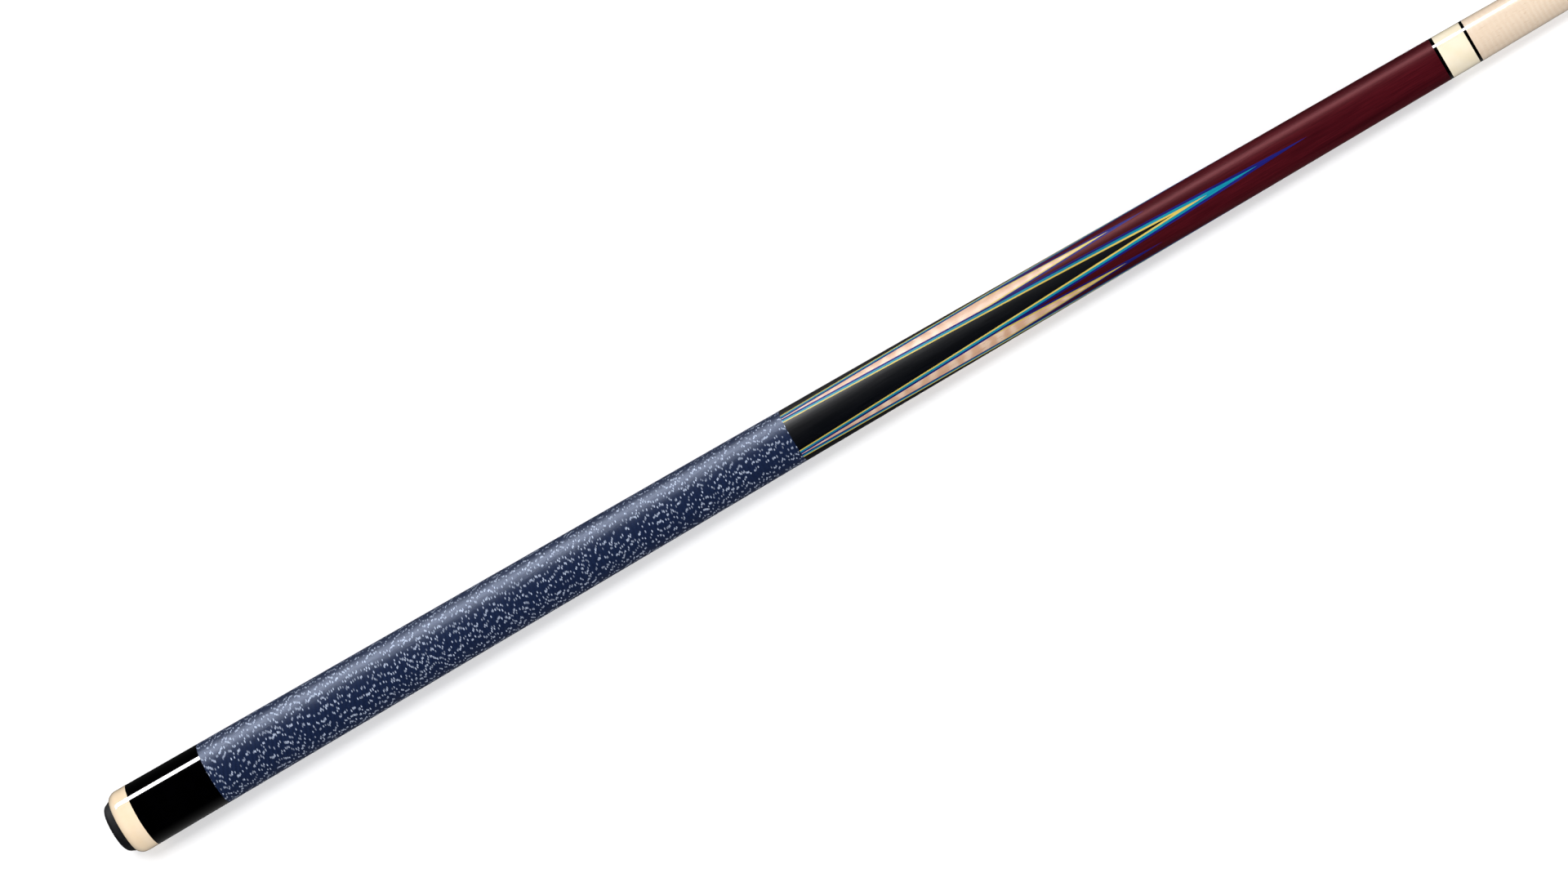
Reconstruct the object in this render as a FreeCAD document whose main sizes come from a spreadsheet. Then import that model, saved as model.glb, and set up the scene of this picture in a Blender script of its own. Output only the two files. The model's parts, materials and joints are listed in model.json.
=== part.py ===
"""A two-piece pool cue, lying along +X from its rubber bumper to its leather tip, with +Z up.

The origin is the centre of the bumper's end face. Every piece is turned about the X axis, apart from
the inlaid points of the forearm, which fill V-grooves cut by a 90 degree cutter. Lengths are in
millimetres and angles in degrees.
"""
import FreeCAD, Part
import math
import os
import re
import Sketcher

os.makedirs("parts", exist_ok=True)
doc = FreeCAD.newDocument("pool_cue")

# ---------------------------------------------------------------- driving dimensions
DIMENSIONS = {
    # the whole cue
    "half_length": 736.6,            # butt half and shaft half are each 29 inches
    "butt_radius": 16.16,            # the straight taper, carried back to the end face
    "joint_radius": 10.65,           # the same taper at the joint face
    # rubber bumper
    "bumper_length": 5.0,
    "bumper_flat_radius": 8.5,
    "bumper_nose_length": 1.2,
    "bumper_nose_radius": 11.8,
    "bumper_nose_round": 5.2,
    "bumper_root_radius": 13.6,
    "stem_radius": 7.95,
    "stem_length": 9.0,
    "stem_chamfer": 0.8,
    "stem_rib_radius": 7.98,
    "stem_neck_radius": 7.3,
    "stem_rib_pitch": 3.0,
    # butt cap and sleeve, both glued over the handle's tenon
    "cap_length": 10.35,
    "cap_end_radius": 13.9,
    "cap_shoulder_length": 4.4,
    "cap_shoulder_round": 5.6,
    "sleeve_length": 39.15,
    "tenon_radius": 11.0,
    # handle and its linen wrap
    "wrap_length": 317.5,
    "wrap_thickness": 0.6,
    "bumper_socket_radius": 8.0,
    "bumper_socket_depth": 10.0,
    "bolt_bore_radius": 6.35,
    "bolt_bore_depth": 105.0,
    # weight bolt, half inch by 13 threads to the inch, and its ring
    "bolt_rear": 32.0,
    "bolt_length": 50.0,
    "bolt_radius": 6.28,
    "bolt_chamfer": 1.0,
    "hex_across_flats": 6.35,
    "hex_depth": 9.0,
    "ring_groove_rear": 4.0,
    "ring_groove_width": 1.9,
    "ring_groove_radius": 4.7,
    "oring_centre_radius": 5.55,
    "oring_cord_radius": 0.75,
    # stud between the handle and the forearm
    "stud_radius": 4.76,
    "stud_in_handle": 38.0,
    "stud_in_forearm": 38.0,
    "stud_chamfer": 0.8,
    # inlaid points
    "long_tip": 650.2,
    "long_floor": 0.2,
    "long_navy": 0.9,
    "long_teal": 0.9,
    "long_yellow": 0.6,
    "short_tip": 567.5,
    "short_floor": 2.0,
    "short_navy": 0.8,
    "short_yellow": 0.6,
    "cutter_width": 22.0,
    "cutter_overrun": 2.0,
    # joint
    "trim_ring_length": 1.6,
    "collar_length": 14.2,
    "collar_bore_radius": 7.5,
    "pin_radius": 4.7,
    "pin_bore_radius": 4.76,
    "pin_embedded": 31.75,
    "pin_free": 31.75,
    "pin_pilot_radius": 3.7,
    "pin_pilot_length": 3.0,
    "pin_chamfer": 1.0,
    # shaft
    "shaft_ring_length": 1.5,
    "shaft_tenon_radius": 8.6,
    "insert_radius": 6.35,
    "insert_length": 34.4,
    "insert_chamfer": 0.5,
    "station_near": 150.0,
    "radius_near": 9.0,
    "station_middle": 300.0,
    "radius_middle": 7.6,
    "station_far": 430.0,
    "radius_far": 6.6,
    "tip_radius": 6.375,
    # ferrule, pad and tip
    "ferrule_length": 19.0,
    "ferrule_tenon_radius": 4.0,
    "ferrule_cap": 3.0,
    "pad_length": 0.8,
    "leather_length": 6.5,
    "leather_side": 4.37,
    "leather_dome": 10.6,
}

sheet = doc.addObject("Spreadsheet::Sheet", "Sizes")
for row, (alias, value) in enumerate(DIMENSIONS.items(), start=1):
    sheet.set(f"A{row}", str(value))
    sheet.setAlias(f"A{row}", alias)
doc.recompute()


def bound(formula):
    """A formula in the sheet's names, written as the document's expressions want it."""
    return re.sub(r"[a-z_]+", lambda word: "Sizes." * (word[0] in DIMENSIONS) + word[0], formula)


def value_of(formula):
    """What a formula comes to now."""
    return float(sheet.evalExpression(bound(formula)))


def taper(distance):
    """The radius of the butt's straight taper, a distance from the end face."""
    return f"(butt_radius - (butt_radius - joint_radius) / half_length * ({distance}))"


# ---------------------------------------------------------------- places along the cue
CAP_REAR = "bumper_length"
SLEEVE_REAR = f"({CAP_REAR} + cap_length)"
WRAP_REAR = f"({SLEEVE_REAR} + sleeve_length)"
WRAP_FRONT = f"({WRAP_REAR} + wrap_length)"
TRIM_RING_REAR = "(half_length - collar_length - trim_ring_length)"
COLLAR_REAR = "(half_length - collar_length)"
JOINT_FACE = "half_length"
PAD_REAR = "(2 * half_length - leather_length - pad_length)"
FERRULE_REAR = f"({PAD_REAR} - ferrule_length)"
LEATHER_REAR = "(2 * half_length - leather_length)"


# ---------------------------------------------------------------- ways of making a piece
def fix_corner(sketch, edge, distance, radius):
    """Bind the corner at an edge's start to its formulas, or to an axis where one is nothing."""
    rules = (("DistanceX", distance, -2), ("DistanceY", radius, -1))
    for kind, formula, axis in rules:
        if value_of(formula) == 0:
            sketch.addConstraint(Sketcher.Constraint("PointOnObject", edge, 1, axis))
            continue
        rule = Sketcher.Constraint(kind, -1, 1, edge, 1, value_of(formula))
        index = sketch.addConstraint(rule)
        sketch.setExpression(f"Constraints[{index}]", bound(formula))


def outline_edge(start, end, round_radius):
    """A straight edge, or an outward arc when it has a radius. Outlines run anticlockwise."""
    if round_radius is None:
        return Part.LineSegment(start, end)
    chord = end - start
    half = chord.Length / 2
    inward = FreeCAD.Vector(-chord.y, chord.x, 0).normalize()
    centre = (start + end) / 2 + inward * math.sqrt(round_radius**2 - half**2)
    angles = [math.atan2(corner.y - centre.y, corner.x - centre.x) for corner in (start, end)]
    circle = Part.Circle(centre, FreeCAD.Vector(0, 0, 1), round_radius)
    return Part.ArcOfCircle(circle, *angles)


def origin_plane(body, role):
    return next(plane for plane in body.Origin.OriginFeatures if plane.Role == role)


def turned(name, rear, outline):
    """A piece turned about the cue's axis.

    rear places it along the cue. Each corner of the outline is (distance from rear, radius), with the
    radius of the arc that starts there if the next stretch is round.
    """
    body = doc.addObject("PartDesign::Body", name)
    sketch = body.newObject("Sketcher::SketchObject", f"{name}_outline")
    sketch.AttachmentSupport = (origin_plane(body, "XY_Plane"), [""])
    sketch.MapMode = "FlatFace"

    corners = [FreeCAD.Vector(value_of(corner[0]), value_of(corner[1]), 0) for corner in outline]
    rounds = [corner[2] if len(corner) == 3 else None for corner in outline]
    count = len(outline)
    for index in range(count):
        radius = value_of(rounds[index]) if rounds[index] else None
        edge = outline_edge(corners[index], corners[(index + 1) % count], radius)
        sketch.addGeometry(edge)
    for index in range(count):
        following = (index + 1) % count
        sketch.addConstraint(Sketcher.Constraint("Coincident", index, 2, following, 1))
    for index, corner in enumerate(outline):
        fix_corner(sketch, index, corner[0], corner[1])
        if rounds[index]:
            rule = Sketcher.Constraint("Radius", index, value_of(rounds[index]))
            bend = sketch.addConstraint(rule)
            sketch.setExpression(f"Constraints[{bend}]", bound(rounds[index]))

    turning = body.newObject("PartDesign::Revolution", f"{name}_turning")
    turning.Profile = sketch
    turning.ReferenceAxis = (sketch, ["H_Axis"])
    turning.Angle = 360
    body.setExpression("Placement.Base.x", bound(rear))
    return body


def tube(name, rear, length, bore, rear_radius, front_radius):
    """A tapered ring or sleeve with a straight bore."""
    return turned(name, rear, [("0", bore), (length, bore), (length, front_radius), ("0", rear_radius)])


def boolean(kind, name, base, tool):
    """A Part::Cut or Part::Common of two objects."""
    made = doc.addObject(f"Part::{kind}", name)
    made.Base = base
    made.Tool = tool
    return made


def fused(name, shapes):
    made = doc.addObject("Part::MultiFuse", name)
    made.Shapes = shapes
    return made


# ---------------------------------------------------------------- butt end
def make_bumper():
    """Rubber bumper: a domed nose and a ribbed stem that pushes into the handle's socket."""
    neck = "bumper_length + stem_rib_pitch"
    end = "(bumper_length + stem_length)"
    return turned("bumper", "0", [
        ("0", "0"),
        (end, "0"),
        (end, "stem_radius - stem_chamfer"),
        (f"{end} - stem_chamfer", "stem_rib_radius"),
        (f"{end} - stem_chamfer - stem_rib_pitch / 2", "stem_rib_radius"),
        (f"{end} - stem_rib_pitch", "stem_neck_radius"),
        (neck, "stem_neck_radius"),
        (f"{neck} - stem_rib_pitch / 4", "stem_radius"),
        ("bumper_length", "stem_radius"),
        ("bumper_length", "bumper_root_radius"),
        ("bumper_nose_length", "bumper_nose_radius", "bumper_nose_round"),
        ("0", "bumper_flat_radius"),
    ])


def make_butt_cap():
    shoulder = f"{CAP_REAR} + cap_shoulder_length"
    return turned("butt_cap", CAP_REAR, [
        ("0", "tenon_radius"),
        ("cap_length", "tenon_radius"),
        ("cap_length", taper(SLEEVE_REAR)),
        ("cap_shoulder_length", taper(shoulder), "cap_shoulder_round"),
        ("0", "cap_end_radius"),
    ])


def make_handle():
    """Handle wood: it carries the cap and sleeve on a tenon and the wrap on its long taper."""
    length = f"({WRAP_FRONT} - {CAP_REAR})"
    tenon = "(cap_length + sleeve_length)"
    stud_end = f"{length} - stud_in_handle"
    return turned("handle_core", CAP_REAR, [
        ("bolt_bore_depth", "0"),
        (stud_end, "0"),
        (stud_end, "stud_radius"),
        (length, "stud_radius"),
        (length, f"{taper(WRAP_FRONT)} - wrap_thickness"),
        (tenon, f"{taper(WRAP_REAR)} - wrap_thickness"),
        (tenon, "tenon_radius"),
        ("0", "tenon_radius"),
        ("0", "bumper_socket_radius"),
        ("bumper_socket_depth", "bumper_socket_radius"),
        ("bumper_socket_depth", "bolt_bore_radius"),
        ("bolt_bore_depth", "bolt_bore_radius"),
    ])


def make_wrap():
    """Linen wrap, one thread thick, flush with the sleeve behind it and the forearm ahead of it."""
    return turned("linen_wrap", WRAP_REAR, [
        ("0", f"{taper(WRAP_REAR)} - wrap_thickness"),
        ("wrap_length", f"{taper(WRAP_FRONT)} - wrap_thickness"),
        ("wrap_length", taper(WRAP_FRONT)),
        ("0", taper(WRAP_REAR)),
    ])


def make_weight_bolt():
    """Weight bolt: a chamfered steel plug with a ring groove, and a hexagon socket in its rear end."""
    body = turned("weight_bolt", "bolt_rear", [
        ("0", "0"),
        ("bolt_length", "0"),
        ("bolt_length", "bolt_radius - bolt_chamfer"),
        ("bolt_length - bolt_chamfer", "bolt_radius"),
        ("ring_groove_rear + ring_groove_width", "bolt_radius"),
        ("ring_groove_rear + ring_groove_width", "ring_groove_radius"),
        ("ring_groove_rear", "ring_groove_radius"),
        ("ring_groove_rear", "bolt_radius"),
        ("bolt_chamfer", "bolt_radius"),
        ("0", "bolt_radius - bolt_chamfer"),
    ])
    doc.recompute()
    hexagon = body.newObject("Sketcher::SketchObject", "hex_outline")
    hexagon.AttachmentSupport = (origin_plane(body, "YZ_Plane"), [""])
    hexagon.MapMode = "FlatFace"
    across_corners = "hex_across_flats / sqrt(3)"
    reach = value_of(across_corners)
    turns = [math.radians(60 * index) for index in range(6)]
    corners = [FreeCAD.Vector(reach * math.cos(turn), reach * math.sin(turn), 0) for turn in turns]
    for index in range(6):
        hexagon.addGeometry(Part.LineSegment(corners[index], corners[(index + 1) % 6]))
    circle = Part.Circle(FreeCAD.Vector(0, 0, 0), FreeCAD.Vector(0, 0, 1), reach)
    hexagon.addGeometry(circle, True)
    hexagon.addConstraint(Sketcher.Constraint("Coincident", 6, 3, -1, 1))
    for index in range(6):
        hexagon.addConstraint(Sketcher.Constraint("Coincident", index, 2, (index + 1) % 6, 1))
        hexagon.addConstraint(Sketcher.Constraint("PointOnObject", index, 1, 6))
    for index in range(5):
        hexagon.addConstraint(Sketcher.Constraint("Equal", index, index + 1))
    hexagon.addConstraint(Sketcher.Constraint("PointOnObject", 0, 1, -1))
    size = hexagon.addConstraint(Sketcher.Constraint("Radius", 6, reach))
    hexagon.setExpression(f"Constraints[{size}]", bound(across_corners))
    doc.recompute()
    solid_volume = body.Shape.Volume
    socket = body.newObject("PartDesign::Pocket", "hex_socket")
    socket.Profile = hexagon
    socket.Reversed = True
    socket.setExpression("Length", bound("hex_depth"))
    doc.recompute()
    removed = solid_volume - body.Shape.Volume
    expected = value_of("sqrt(3) / 2 * hex_across_flats ^ 2 * hex_depth")
    if abs(removed - expected) > 0.01 * expected:
        raise RuntimeError(f"the hexagon socket removed {removed:.2f} mm3 and not {expected:.2f}")
    return body


def make_bolt_ring():
    """Rubber ring in the bolt's groove, which keeps the bolt from rattling in its bore."""
    ring = doc.addObject("Part::Torus", "bolt_oring")
    ring.setExpression("Radius1", bound("oring_centre_radius"))
    ring.setExpression("Radius2", bound("oring_cord_radius"))
    middle = "bolt_rear + ring_groove_rear + ring_groove_width / 2"
    place = f"placement(vector({middle}; 0; 0); rotation(vector(0; 1; 0); 90))"
    ring.setExpression("Placement", bound(place))
    return ring


# ---------------------------------------------------------------- forearm
def make_stud():
    """Steel stud that draws the forearm onto the handle."""
    length = "(stud_in_handle + stud_in_forearm)"
    return turned("forearm_stud", f"{WRAP_FRONT} - stud_in_handle", [
        ("0", "0"),
        (length, "0"),
        (length, "stud_radius - stud_chamfer"),
        (f"{length} - stud_chamfer", "stud_radius"),
        ("stud_chamfer", "stud_radius"),
        ("0", "stud_radius - stud_chamfer"),
    ])


def make_forearm_round():
    """The whole forearm with its bores and joint tenon, from which every inlaid piece is taken."""
    length = f"({JOINT_FACE} - {WRAP_FRONT})"
    shoulder = f"({TRIM_RING_REAR} - {WRAP_FRONT})"
    return turned("forearm_round", WRAP_FRONT, [
        ("stud_in_forearm", "0"),
        (f"{length} - pin_embedded", "0"),
        (f"{length} - pin_embedded", "pin_radius"),
        (length, "pin_radius"),
        (length, "collar_bore_radius"),
        (shoulder, "collar_bore_radius"),
        (shoulder, taper(TRIM_RING_REAR)),
        ("0", taper(WRAP_FRONT)),
        ("0", "stud_radius"),
        ("stud_in_forearm", "stud_radius"),
    ])


def groove_cutter(name, side_angle, tip, floor, glued):
    """A square bar whose lower edge is the floor of a V-groove.

    The floor climbs from `floor` above the axis, at the wrap, to the surface at `tip`. `glued` is the
    thickness of veneer already laid in the groove.
    """
    slope = f"(({taper(tip)} - {floor}) / ({tip} - {WRAP_FRONT}))"
    height = f"{floor} - {slope} * cutter_overrun + sqrt(2) * ({glued})"
    corner = f"vector({WRAP_FRONT} - cutter_overrun; {height}; 0)"
    tilt = f"rotation(vector(0; 0; 1); atan({slope})) * rotation(vector(1; 0; 0); -45)"
    side = f"placement(vector(0; 0; 0); rotation(vector(1; 0; 0); {side_angle}))"
    bar = doc.addObject("Part::Box", name)
    bar.setExpression("Length", bound(f"{TRIM_RING_REAR} - {WRAP_FRONT}"))
    bar.setExpression("Width", bound("cutter_width"))
    bar.setExpression("Height", bound("cutter_width"))
    bar.setExpression("Placement", bound(f"{side} * placement({corner}; {tilt})"))
    return bar


LONG_SIDES = {"left": 0, "top": 90, "right": 180, "bottom": 270}
SHORT_SIDES = {"upper_left": 45, "upper_right": 135, "lower_right": 225, "lower_left": 315}
LONG_LAYERS = {"navy": "0", "teal": "long_navy", "yellow": "long_navy + long_teal"}
LONG_CORE = "long_navy + long_teal + long_yellow"
SHORT_LAYERS = {"navy": "0", "yellow": "short_navy"}
SHORT_CORE = "short_navy + short_yellow"


def inlay(kind, side, stock, cutters):
    """The veneers and the wedge that fill one groove, taken from the stock, outermost first."""
    colours = list(cutters)
    pieces = []
    for colour, inner in zip(colours, colours[1:]):
        layer = boolean("Common", f"{kind}_{colour}_{side}_stock", stock, cutters[colour])
        pieces.append(boolean("Cut", f"{kind}_veneer_{colour}_{side}", layer, cutters[inner]))
    pieces.append(boolean("Common", f"{kind}_point_{side}", stock, cutters["core"]))
    return pieces


def make_forearm():
    """Stained blank with four long black points and four short maple points, all in veneers."""
    stock = make_forearm_round()
    pieces = []
    outer_long = []
    for side, angle in LONG_SIDES.items():
        layers = {**LONG_LAYERS, "core": LONG_CORE}
        cutters = {
            colour: groove_cutter(f"long_{colour}_{side}_bar", angle, "long_tip", "long_floor", glued)
            for colour, glued in layers.items()
        }
        outer_long.append(cutters["navy"])
        pieces += inlay("long", side, stock, cutters)

    all_long = fused("long_grooves", outer_long)
    short_stock = boolean("Cut", "short_stock", stock, all_long)
    outer_short = []
    for side, angle in SHORT_SIDES.items():
        layers = {**SHORT_LAYERS, "core": SHORT_CORE}
        cutters = {
            colour: groove_cutter(f"short_{colour}_{side}_bar", angle, "short_tip", "short_floor", glued)
            for colour, glued in layers.items()
        }
        outer_short.append(cutters["navy"])
        pieces += inlay("short", side, short_stock, cutters)

    all_short = fused("short_grooves", outer_short)
    pieces.append(boolean("Cut", "forearm_blank", short_stock, all_short))
    return pieces


# ---------------------------------------------------------------- joint
def make_joint_pin():
    """Joint pin: glued into the forearm for half its length, with a pilot at its free end."""
    length = "(pin_embedded + pin_free)"
    return turned("joint_pin", f"{JOINT_FACE} - pin_embedded", [
        ("0", "0"),
        (length, "0"),
        (length, "pin_pilot_radius - pin_chamfer / 2"),
        (f"{length} - pin_chamfer / 2", "pin_pilot_radius"),
        (f"{length} - pin_pilot_length", "pin_pilot_radius"),
        (f"{length} - pin_pilot_length - pin_chamfer", "pin_radius"),
        ("0", "pin_radius"),
    ])


def make_insert():
    """Brass insert that the pin screws into, chamfered at its mouth."""
    return turned("shaft_insert", JOINT_FACE, [
        ("insert_chamfer", "pin_bore_radius"),
        ("insert_length", "pin_bore_radius"),
        ("insert_length", "insert_radius"),
        ("0", "insert_radius"),
        ("0", "pin_bore_radius + insert_chamfer"),
    ])


# ---------------------------------------------------------------- shaft
def make_shaft():
    """Maple shaft: a tenon for its ring, a taper in four runs, and a tenon for the ferrule."""
    tenon_start = f"({FERRULE_REAR} - {JOINT_FACE})"
    tenon_end = f"({tenon_start} + ferrule_length - ferrule_cap)"
    return turned("shaft_wood", JOINT_FACE, [
        ("insert_length", "0"),
        (tenon_end, "0"),
        (tenon_end, "ferrule_tenon_radius"),
        (tenon_start, "ferrule_tenon_radius"),
        (tenon_start, "tip_radius"),
        ("station_far", "radius_far"),
        ("station_middle", "radius_middle"),
        ("station_near", "radius_near"),
        ("shaft_ring_length", "joint_radius"),
        ("shaft_ring_length", "shaft_tenon_radius"),
        ("0", "shaft_tenon_radius"),
        ("0", "insert_radius"),
        ("insert_length", "insert_radius"),
    ])


def make_ferrule():
    """Capped ferrule over the shaft's tenon."""
    return turned("ferrule", FERRULE_REAR, [
        ("ferrule_length - ferrule_cap", "0"),
        ("ferrule_length", "0"),
        ("ferrule_length", "tip_radius"),
        ("0", "tip_radius"),
        ("0", "ferrule_tenon_radius"),
        ("ferrule_length - ferrule_cap", "ferrule_tenon_radius"),
    ])


def make_pad():
    return turned("tip_pad", PAD_REAR, [
        ("0", "0"), ("pad_length", "0"), ("pad_length", "tip_radius"), ("0", "tip_radius"),
    ])


def make_tip():
    """Leather tip with a domed face."""
    return turned("leather_tip", LEATHER_REAR, [
        ("0", "0"),
        ("leather_length", "0", "leather_dome"),
        ("leather_side", "tip_radius"),
        ("0", "tip_radius"),
    ])


# ---------------------------------------------------------------- the whole cue
SUBPARTS = [
    make_bumper(),
    make_butt_cap(),
    tube("butt_sleeve", SLEEVE_REAR, "sleeve_length", "tenon_radius",
         taper(SLEEVE_REAR), taper(WRAP_REAR)),
    make_handle(),
    make_wrap(),
    make_weight_bolt(),
    make_bolt_ring(),
    make_stud(),
    *make_forearm(),
    tube("joint_trim_ring", TRIM_RING_REAR, "trim_ring_length", "collar_bore_radius",
         taper(TRIM_RING_REAR), taper(COLLAR_REAR)),
    tube("joint_collar", COLLAR_REAR, "collar_length", "collar_bore_radius",
         taper(COLLAR_REAR), taper(JOINT_FACE)),
    make_joint_pin(),
    tube("shaft_ring", JOINT_FACE, "shaft_ring_length", "shaft_tenon_radius",
         "joint_radius", "joint_radius"),
    make_insert(),
    make_shaft(),
    make_ferrule(),
    make_pad(),
    make_tip(),
]
doc.recompute()

for thing in doc.Objects:
    if "Invalid" in thing.State or "Error" in thing.State:
        raise RuntimeError(f"{thing.Label} failed: {thing.State}")
    if thing.TypeId == "Sketcher::SketchObject" and not thing.FullyConstrained:
        raise RuntimeError(f"{thing.Label} is not fully constrained")
for piece in SUBPARTS:
    if piece.Shape.isNull() or not piece.Shape.isValid() or piece.Shape.Volume <= 0:
        raise RuntimeError(f"{piece.Label} is not a sound solid")

for piece in SUBPARTS:
    piece.Shape.exportStep(f"parts/{piece.Label}.step")
    solids = len(piece.Shape.Solids)
    print(f"{piece.Label:32s} {piece.Shape.Volume:12.2f} mm3 {solids} solid")
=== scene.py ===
"""Looks of a two-piece pool cue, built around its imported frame.

The cue lies along +X from its bumper to its tip, in metres. Turned pieces are lathed here with fine
outlines, and the forearm's points are cut from one round stock by the same V-grooves as the frame's.
"""

import json
import math
from operator import itemgetter

import bmesh
import bpy
from mathutils import Matrix, Vector


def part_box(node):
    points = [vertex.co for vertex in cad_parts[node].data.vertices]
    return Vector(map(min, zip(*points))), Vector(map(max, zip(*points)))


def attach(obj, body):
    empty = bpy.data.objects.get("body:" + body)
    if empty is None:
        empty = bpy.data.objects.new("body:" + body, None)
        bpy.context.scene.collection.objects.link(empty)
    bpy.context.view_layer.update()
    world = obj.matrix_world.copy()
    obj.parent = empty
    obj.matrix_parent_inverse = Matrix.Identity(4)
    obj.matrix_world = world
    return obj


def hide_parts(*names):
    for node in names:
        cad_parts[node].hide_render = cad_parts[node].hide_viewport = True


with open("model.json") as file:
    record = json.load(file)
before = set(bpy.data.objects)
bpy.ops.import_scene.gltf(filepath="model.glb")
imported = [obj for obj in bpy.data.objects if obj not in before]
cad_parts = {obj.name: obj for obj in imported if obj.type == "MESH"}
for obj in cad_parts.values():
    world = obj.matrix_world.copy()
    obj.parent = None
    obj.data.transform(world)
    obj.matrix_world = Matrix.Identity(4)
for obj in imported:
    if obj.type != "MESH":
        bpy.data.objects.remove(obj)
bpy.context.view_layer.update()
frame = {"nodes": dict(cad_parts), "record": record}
scene = bpy.context.scene

MM = 0.001
NEAR = 0.001 * MM            # measures of the frame within this are the same
WELD = 0.0005 * MM           # corners within this become one corner
ROUND = 180                  # facets round a turned piece
THREAD_ROUND = 72            # facets round a threaded piece
STOCK_ROUND = 360            # facets round the forearm, a whole number in 45 degrees
SMOOTH = math.radians(32)    # sharper corners stay crisp


# ---------------------------------------------------------------- reading the frame
def low(node):
    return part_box(node)[0].x


def high(node):
    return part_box(node)[1].x


def rim(node, front=False, outer=True):
    """The largest or smallest radius of a node's mesh at its rear or front end."""
    end = high(node) if front else low(node)
    spots = [v.co for v in frame["nodes"][node].data.vertices if abs(v.co.x - end) < NEAR]
    radii = [math.hypot(spot.y, spot.z) for spot in spots]
    return max(radii) if outer else min(radii)


def widest(node):
    """The largest radius of a node's mesh."""
    return max(math.hypot(v.co.y, v.co.z) for v in frame["nodes"][node].data.vertices)


BUTT_TAPER = [
    (low("butt_sleeve"), rim("butt_sleeve")),
    (low("joint_trim_ring"), rim("joint_trim_ring")),
]
TAPER_SLOPE = (BUTT_TAPER[0][1] - BUTT_TAPER[1][1]) / (BUTT_TAPER[1][0] - BUTT_TAPER[0][0])
JOINT_FACE = high("joint_collar")


def taper(x):
    """The radius of the butt's straight taper at x."""
    return BUTT_TAPER[0][1] - TAPER_SLOPE * (x - BUTT_TAPER[0][0])


# ---------------------------------------------------------------- mesh making
def link(thing):
    scene.collection.objects.link(thing)
    return thing


def new_piece(name, vertices, faces):
    mesh = bpy.data.meshes.new(name)
    mesh.from_pydata(vertices, [], faces)
    mesh.validate()
    mesh.update()
    return link(bpy.data.objects.new(name, mesh))


def smooth(piece):
    piece.data.polygons.foreach_set("use_smooth", [True] * len(piece.data.polygons))
    piece.data.set_sharp_from_angle(angle=SMOOTH)


def ring_spot(x, radius, turn):
    return (x, radius * math.cos(turn), radius * math.sin(turn))


def bend(before, corner, after, size):
    """The points of a rounded corner of an outline, `size` long on each side."""
    steps = 5
    corner = Vector(corner)
    start = corner + (Vector(before) - corner).normalized() * size
    end = corner + (Vector(after) - corner).normalized() * size
    points = []
    for step in range(steps + 1):
        t = step / steps
        points.append((1 - t) ** 2 * start + 2 * t * (1 - t) * corner + t**2 * end)
    return [tuple(point) for point in points]


def eased(corners, closed=True):
    """An outline with each corner given as (x, radius, rounding) rounded off.

    Support points close to the ends of its long straight runs keep smooth shading flat along them.
    """
    long_run, support = 1.2 * MM, 0.15 * MM
    count = len(corners)
    points = []
    for index, (x, radius, size) in enumerate(corners):
        on_axis = not closed and index in (0, count - 1)
        if size == 0 or on_axis:
            points.append((x, radius))
            continue
        before, after = corners[index - 1][:2], corners[(index + 1) % count][:2]
        points += bend(before, (x, radius), after, size)
    held = []
    pairs = len(points) if closed else len(points) - 1
    for index in range(pairs):
        here, there = Vector(points[index]), Vector(points[(index + 1) % len(points)])
        held.append(tuple(here))
        if (there - here).length > long_run:
            step = (there - here).normalized() * support
            held += [tuple(here + step), tuple(there - step)]
    if not closed:
        held.append(points[-1])
    return held


def arc(centre, radius, start, end, steps):
    """Points of an arc in an outline, with its angles in degrees from +X towards a larger radius."""
    turns = [math.radians(start + (end - start) * step / steps) for step in range(steps + 1)]
    return [(centre[0] + radius * math.cos(t), centre[1] + radius * math.sin(t)) for t in turns]


def lathe(name, outline, closed=True, facets=ROUND, relief=None):
    """A solid turned about the cue's axis.

    Outlines run anticlockwise seen with the axis below, and an open outline starts and ends on the
    axis. relief(x, radius, turn) is added to the radius at each spot.
    """
    vertices, faces, rings = [], [], []
    for index, (x, radius) in enumerate(outline):
        if not closed and index in (0, len(outline) - 1):
            rings.append([len(vertices)] * facets)
            vertices.append((x, 0, 0))
            continue
        rings.append(list(range(len(vertices), len(vertices) + facets)))
        for step in range(facets):
            turn = 2 * math.pi * step / facets
            reach = radius + (relief(x, radius, turn) if relief else 0)
            vertices.append(ring_spot(x, reach, turn))
    count = len(rings)
    for index in range(count if closed else count - 1):
        here, there = rings[index], rings[(index + 1) % count]
        for step in range(facets):
            following = (step + 1) % facets
            face = [here[step], there[step], there[following], here[following]]
            faces.append([spot for at, spot in enumerate(face) if spot not in face[:at]])
    piece = new_piece(name, vertices, faces)
    smooth(piece)
    return piece


def finish_piece(piece, body, slot, *nodes):
    """Dress a piece in its slot's material, hang it on its body and let it stand for its CAD nodes."""
    piece.data.materials.clear()
    piece.data.materials.append(MATERIALS[slot])
    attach(piece, body)
    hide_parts(*nodes)


# ---------------------------------------------------------------- material making
def srgb(red, green, blue):
    """A shader's colour from sRGB values of 0 to 255."""
    def linear(value):
        value /= 255
        return value / 12.92 if value <= 0.04045 else ((value + 0.055) / 1.055) ** 2.4
    return (linear(red), linear(green), linear(blue), 1)


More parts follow.
